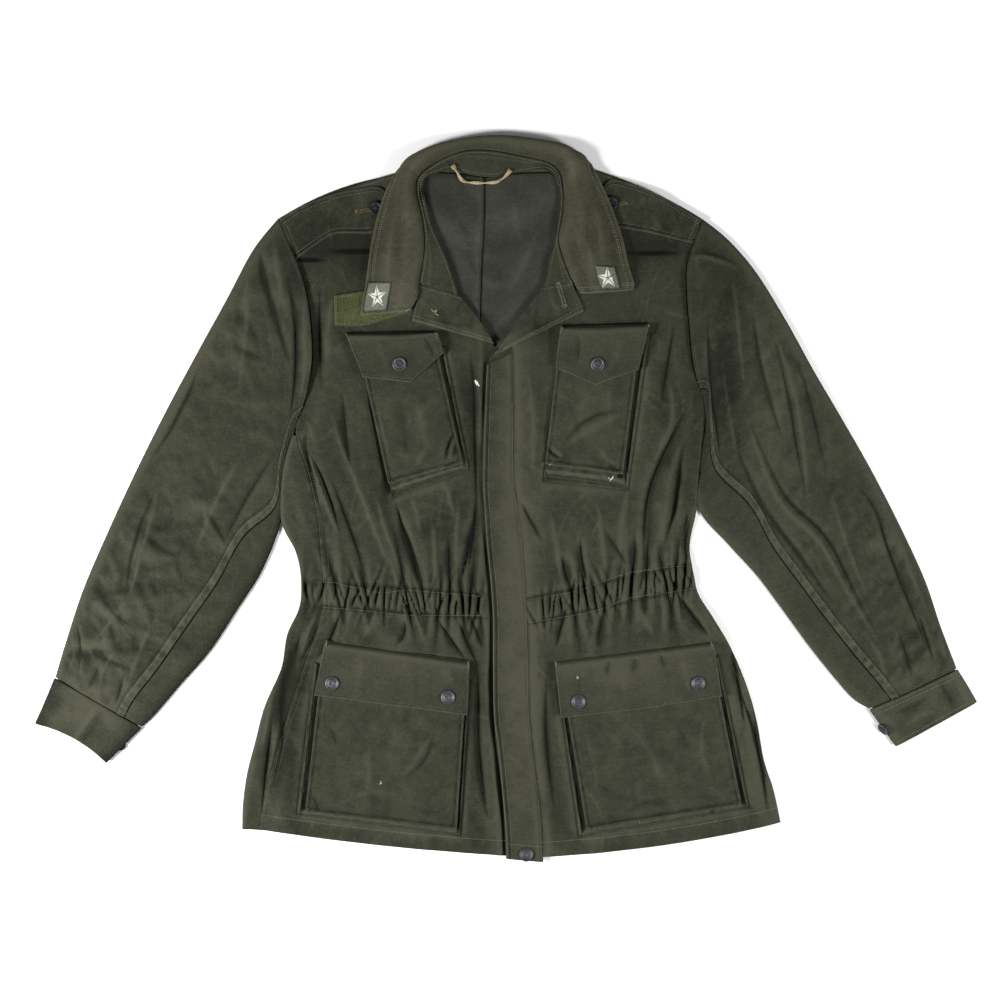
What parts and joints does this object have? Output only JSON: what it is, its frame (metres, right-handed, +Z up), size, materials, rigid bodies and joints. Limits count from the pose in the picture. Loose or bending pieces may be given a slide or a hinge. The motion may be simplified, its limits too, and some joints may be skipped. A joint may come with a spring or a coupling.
{
  "type": "safari jacket",
  "caption": "Cotton twill safari jacket laid flat: turned-down collar, shoulder straps, gathered waist, fly front and bellows pockets with snapped flaps.",
  "frame": {"origin": "centre of the jacket's box, on the surface that it lies on", "axes": "+X to the right of someone looking down on the jacket, along its sleeves' span; +Y from hem to collar; +Z up from the surface, out of the front"},
  "size_m": [1.0917, 0.8416, 0.0188],
  "materials": {
    "olive_twill": "washed cotton twill, olive drab, matte with a faint sheen on the collar",
    "inside_cloth": "inside of the same twill, greyer and matte",
    "tape_green": "fuzzy loop tape, brighter olive",
    "star_cloth": "woven patch, grey-green with a pale star and a frayed edge",
    "khaki_tape": "khaki cotton cord",
    "gunmetal": "dark plated metal, satin",
    "button_blue": "dark blue plastic, satin"
  },
  "bodies": {
    "root": {"back_l": "inside_cloth", "back_r": "inside_cloth", "button_cuff_l": "button_blue", "button_cuff_r": "button_blue", "button_strap_l": "button_blue", "button_strap_r": "button_blue", "chest_l_bellows": "olive_twill", "chest_l_flap": "olive_twill", "chest_l_front": "olive_twill", "chest_r_bellows": "olive_twill", "chest_r_flap": "olive_twill", "chest_r_front": "olive_twill", "collar_fall": "olive_twill", "collar_stand": "olive_twill", "cuff_l": "olive_twill", "cuff_r": "olive_twill", "front_l": "olive_twill", "front_r": "olive_twill", "hanger_loop": "khaki_tape", "lapel_l": "olive_twill", "lapel_r": "olive_twill", "loop_tape": "tape_green", "placket": "olive_twill", "skirt_l_bellows": "olive_twill", "skirt_l_flap": "olive_twill", "skirt_l_front": "olive_twill", "skirt_r_bellows": "olive_twill", "skirt_r_flap": "olive_twill", "skirt_r_front": "olive_twill", "sleeve_top_l": "olive_twill", "sleeve_top_r": "olive_twill", "sleeve_under_l": "olive_twill", "sleeve_under_r": "olive_twill", "snap_chest_l": "gunmetal", "snap_chest_r": "gunmetal", "snap_hem": "gunmetal", "snap_skirt_l_a": "gunmetal", "snap_skirt_l_b": "gunmetal", "snap_skirt_r_a": "gunmetal", "snap_skirt_r_b": "gunmetal", "star_patch_l": "star_cloth", "star_patch_r": "star_cloth", "strap_l": "olive_twill", "strap_r": "olive_twill"}
  },
  "joints": []
}
